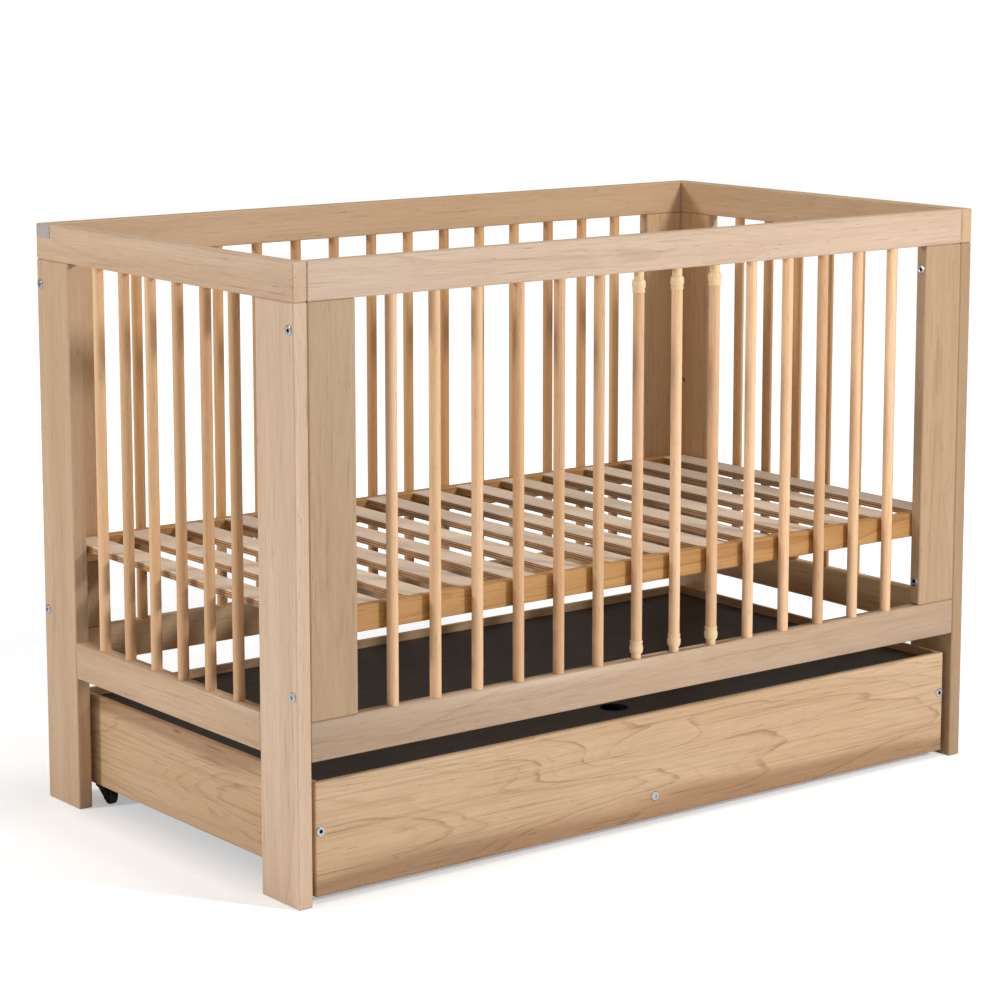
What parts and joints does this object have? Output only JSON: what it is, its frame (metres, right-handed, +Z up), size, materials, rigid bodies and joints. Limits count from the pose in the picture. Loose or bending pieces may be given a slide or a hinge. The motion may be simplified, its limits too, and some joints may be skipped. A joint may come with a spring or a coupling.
{
  "type": "baby crib with drawer",
  "caption": "Slatted wooden baby crib with round spindles, lift-out front bars, a slatted base and a lidded drawer on swivel casters.",
  "frame": {"origin": "centre of the footprint on the floor, under the four feet", "axes": "+X along the length to the right of someone facing the drawer side, +Y from the drawer side to the back, +Z up"},
  "size_m": [1.2504, 0.67, 0.86],
  "materials": {
    "frame_wood": "matt varnished pale hardwood, straight grain along each board",
    "bar_wood": "satin varnished turned hardwood with pale beige plastic caps",
    "beam_pine": "satin golden pine",
    "slat_plywood": "pale plywood with layered brown edges",
    "drawer_wood": "matt varnished hardwood with arched grain",
    "drawer_panel": "thin dark brown fibreboard",
    "bolt_steel": "bright zinc plated",
    "caster_plastic": "black moulded plastic",
    "wheel_plastic": "black hard plastic tread"
  },
  "bodies": {
    "crib_frame": {"back_left_stile": "frame_wood", "back_lower_rail": "frame_wood", "back_right_stile": "frame_wood", "back_top_rail": "frame_wood", "base_back_beam": "beam_pine", "base_front_beam": "beam_pine", "base_slat_01": "slat_plywood", "base_slat_02": "slat_plywood", "base_slat_03": "slat_plywood", "base_slat_04": "slat_plywood", "base_slat_05": "slat_plywood", "base_slat_06": "slat_plywood", "base_slat_07": "slat_plywood", "base_slat_08": "slat_plywood", "base_slat_09": "slat_plywood", "base_slat_10": "slat_plywood", "base_slat_11": "slat_plywood", "base_slat_12": "slat_plywood", "base_slat_13": "slat_plywood", "base_slat_14": "slat_plywood", "bolt_back_left_lower": "bolt_steel", "bolt_back_left_upper": "bolt_steel", "bolt_back_right_lower": "bolt_steel", "bolt_back_right_upper": "bolt_steel", "bolt_front_left_lower": "bolt_steel", "bolt_front_left_upper": "bolt_steel", "bolt_front_right_lower": "bolt_steel", "bolt_front_right_upper": "bolt_steel", "front_left_stile": "frame_wood", "front_lower_rail": "frame_wood", "front_right_stile": "frame_wood", "front_top_rail": "frame_wood", "left_end_back_post": "frame_wood", "left_end_front_post": "frame_wood", "left_end_lower_rail": "frame_wood", "left_end_top_rail": "frame_wood", "right_end_back_post": "frame_wood", "right_end_front_post": "frame_wood", "right_end_lower_rail": "frame_wood", "right_end_top_rail": "frame_wood"},
    "drawer": {"drawer_back": "drawer_wood", "drawer_batten": "drawer_wood", "drawer_bottom": "drawer_panel", "drawer_front": "drawer_wood", "drawer_left_side": "drawer_wood", "drawer_right_side": "drawer_wood"},
    "drawer_lid": {"drawer_lid": "drawer_panel"},
    "removable_bar_1": {"removable_bar_1": "bar_wood"},
    "removable_bar_2": {"removable_bar_2": "bar_wood"},
    "removable_bar_3": {"removable_bar_3": "bar_wood"},
    "caster_front_left_swivel": {"caster_front_left_fork": "caster_plastic"},
    "caster_front_left_wheel": {"caster_front_left_wheel": "wheel_plastic"},
    "caster_front_right_swivel": {"caster_front_right_fork": "caster_plastic"},
    "caster_front_right_wheel": {"caster_front_right_wheel": "wheel_plastic"},
    "caster_back_left_swivel": {"caster_back_left_fork": "caster_plastic"},
    "caster_back_left_wheel": {"caster_back_left_wheel": "wheel_plastic"},
    "caster_back_right_swivel": {"caster_back_right_fork": "caster_plastic"},
    "caster_back_right_wheel": {"caster_back_right_wheel": "wheel_plastic"}
  },
  "joints": [
    {"name": "drawer_pull", "type": "slide", "parent": "crib_frame", "child": "drawer", "axis": [0, -1, 0], "range_m": [0, 0.55]},
    {"name": "lid_lift", "type": "slide", "parent": "drawer", "child": "drawer_lid", "axis": [0, 0, 1], "range_m": [0, 0.02]},
    {"name": "removable_bar_1_lift", "type": "slide", "parent": "crib_frame", "child": "removable_bar_1", "axis": [0, 0, 1], "range_m": [0, 0.009], "stiffness_N_per_m": 1500, "springref_m": -0.002},
    {"name": "removable_bar_2_lift", "type": "slide", "parent": "crib_frame", "child": "removable_bar_2", "axis": [0, 0, 1], "range_m": [0, 0.009], "stiffness_N_per_m": 1500, "springref_m": -0.002},
    {"name": "removable_bar_3_lift", "type": "slide", "parent": "crib_frame", "child": "removable_bar_3", "axis": [0, 0, 1], "range_m": [0, 0.009], "stiffness_N_per_m": 1500, "springref_m": -0.002},
    {"name": "caster_front_left_swivel", "type": "hinge", "parent": "drawer", "child": "caster_front_left_swivel", "pos_m": [-0.57, -0.282, 0.0293], "axis": [0, 0, 1], "continuous": true},
    {"name": "caster_front_left_roll", "type": "hinge", "parent": "caster_front_left_swivel", "child": "caster_front_left_wheel", "pos_m": [-0.57, -0.292, 0.012], "axis": [1, 0, 0], "continuous": true},
    {"name": "caster_front_right_swivel", "type": "hinge", "parent": "drawer", "child": "caster_front_right_swivel", "pos_m": [0.57, -0.282, 0.0293], "axis": [0, 0, 1], "continuous": true},
    {"name": "caster_front_right_roll", "type": "hinge", "parent": "caster_front_right_swivel", "child": "caster_front_right_wheel", "pos_m": [0.57, -0.292, 0.012], "axis": [1, 0, 0], "continuous": true},
    {"name": "caster_back_left_swivel", "type": "hinge", "parent": "drawer", "child": "caster_back_left_swivel", "pos_m": [-0.57, 0.255, 0.0293], "axis": [0, 0, 1], "continuous": true},
    {"name": "caster_back_left_roll", "type": "hinge", "parent": "caster_back_left_swivel", "child": "caster_back_left_wheel", "pos_m": [-0.57, 0.245, 0.012], "axis": [1, 0, 0], "continuous": true},
    {"name": "caster_back_right_swivel", "type": "hinge", "parent": "drawer", "child": "caster_back_right_swivel", "pos_m": [0.57, 0.255, 0.0293], "axis": [0, 0, 1], "continuous": true},
    {"name": "caster_back_right_roll", "type": "hinge", "parent": "caster_back_right_swivel", "child": "caster_back_right_wheel", "pos_m": [0.57, 0.245, 0.012], "axis": [1, 0, 0], "continuous": true}
  ]
}
